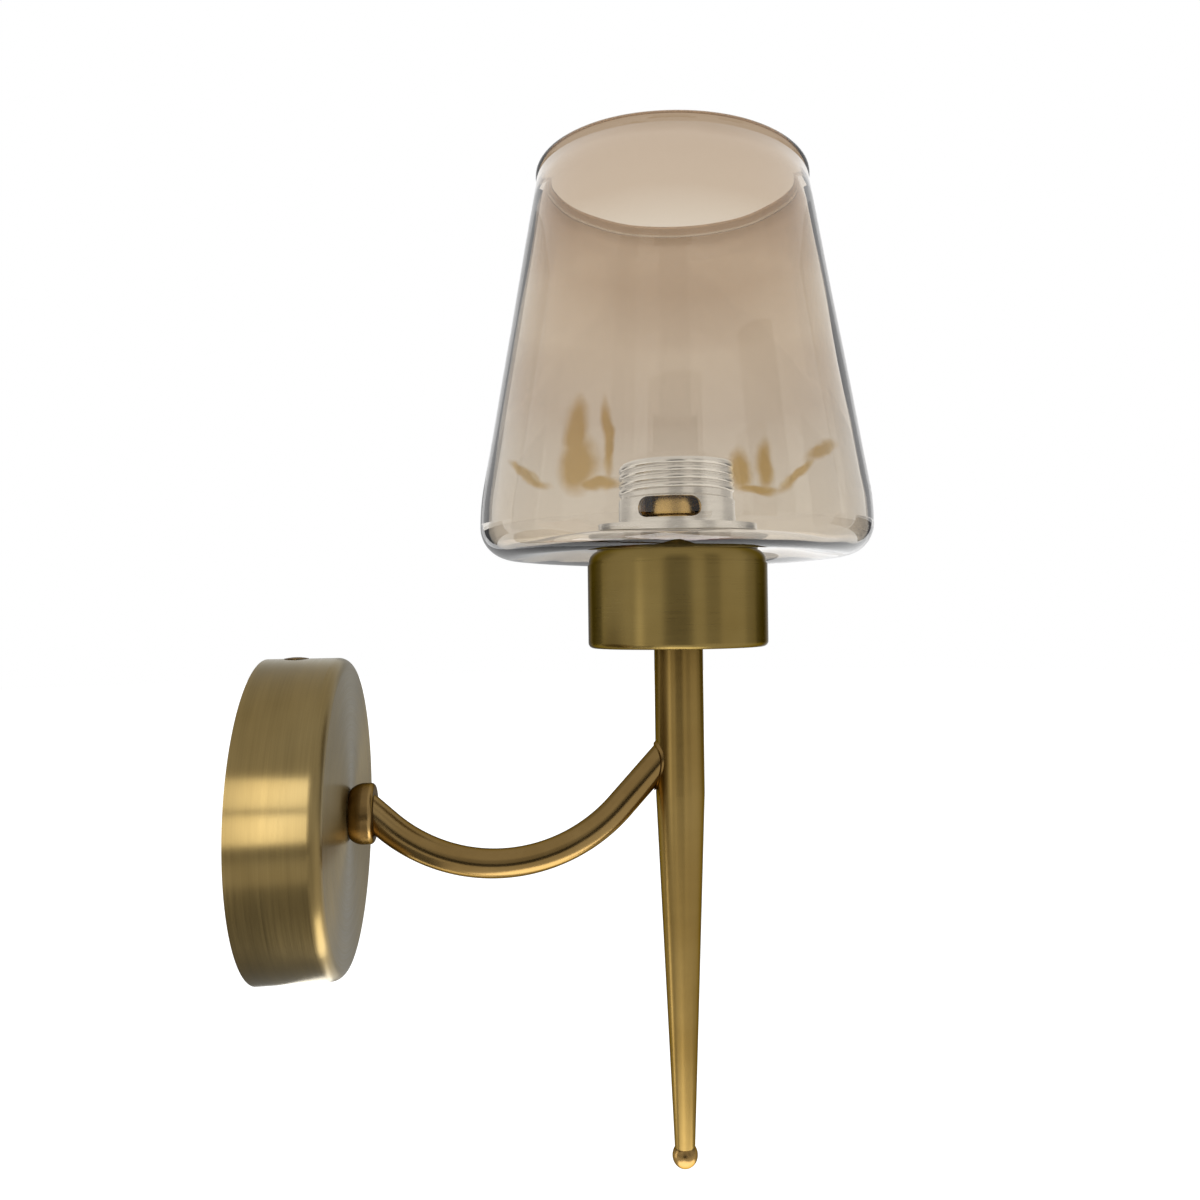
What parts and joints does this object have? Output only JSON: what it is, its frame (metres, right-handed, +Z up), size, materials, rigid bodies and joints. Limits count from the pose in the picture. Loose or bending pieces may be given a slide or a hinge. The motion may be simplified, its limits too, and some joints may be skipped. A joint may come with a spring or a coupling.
{
  "type": "wall sconce",
  "caption": "Wall sconce with a round backplate, a curved arm, a tapered stem with a ball finial and an open tinted glass shade clamped over a screw lampholder.",
  "frame": {"origin": "centre of the backplate's back edge, in the plane of the wall", "axes": "+X points out of the wall along the backplate's axis, +Z points up along the stem towards the open rim of the shade, +Y completes the right-handed frame"},
  "size_m": [0.1972, 0.1304, 0.3333],
  "materials": {
    "antique_brass": "satin, brushed",
    "pale_brass": "satin",
    "contact_brass": "bright",
    "zinc_steel": "satin",
    "holder_metal": "satin",
    "white_insulator": "gloss",
    "washer_rubber": "matte",
    "lead_brown": "satin",
    "lead_blue": "satin",
    "tinted_glass": "polished"
  },
  "bodies": {
    "bracket": {"wall_bracket": "zinc_steel", "earth_screw": "pale_brass"},
    "lamp": {"backplate": "antique_brass", "rim_nuts": "zinc_steel", "rim_screws": "pale_brass", "arm_collar": "pale_brass", "arm_nipple": "zinc_steel", "lock_washer": "zinc_steel", "nipple_nut": "zinc_steel", "terminal_block": "white_insulator", "terminal_inserts": "contact_brass", "terminal_screws": "zinc_steel", "live_lead": "lead_brown", "neutral_lead": "lead_blue", "arm_tube": "antique_brass", "braze_seam": "pale_brass", "stem_tube": "antique_brass", "stem_plug": "pale_brass", "finial_ball": "antique_brass", "stem_nipple": "zinc_steel", "holder_cup": "antique_brass", "cup_washer": "zinc_steel", "cup_nut": "zinc_steel", "cup_lid": "antique_brass", "lampholder_base": "holder_metal", "lampholder_core": "white_insulator", "holder_screws": "zinc_steel", "side_contact": "contact_brass", "screw_shell": "contact_brass", "mouth_ring": "white_insulator", "lampholder_barrel": "holder_metal", "lower_gasket": "washer_rubber"},
    "contact": {"centre_contact": "contact_brass"},
    "shade": {"glass_shade": "tinted_glass"},
    "ring_washer": {"upper_gasket": "washer_rubber"},
    "ring": {"shade_ring": "holder_metal"}
  },
  "joints": [
    {"name": "canopy_pull", "type": "slide", "parent": "bracket", "child": "lamp", "axis": [1, 0, 0], "range_m": [0, 0.05]},
    {"name": "contact_press", "type": "hinge", "parent": "lamp", "child": "contact", "pos_m": [0.125, 0, 0.0909], "axis": [0, 1, 0], "range_deg": [0, 10], "stiffness_Nm_per_rad": 0.02},
    {"name": "shade_lift", "type": "slide", "parent": "lamp", "child": "shade", "axis": [0, 0, 1], "range_m": [0, 0.06]},
    {"name": "ring_rise", "type": "slide", "parent": "shade", "child": "ring_washer", "axis": [0, 0, 1], "range_m": [0, 0.0251]},
    {"name": "ring_turn", "type": "hinge", "parent": "ring_washer", "child": "ring", "pos_m": [0.132, 0, 0.0893], "axis": [0, 0, 1], "range_deg": [0, 3600]}
  ],
  "couplings": [
    {"joint": "ring_rise", "follows": "ring_turn", "m_per_rad": 0.00039789}
  ]
}
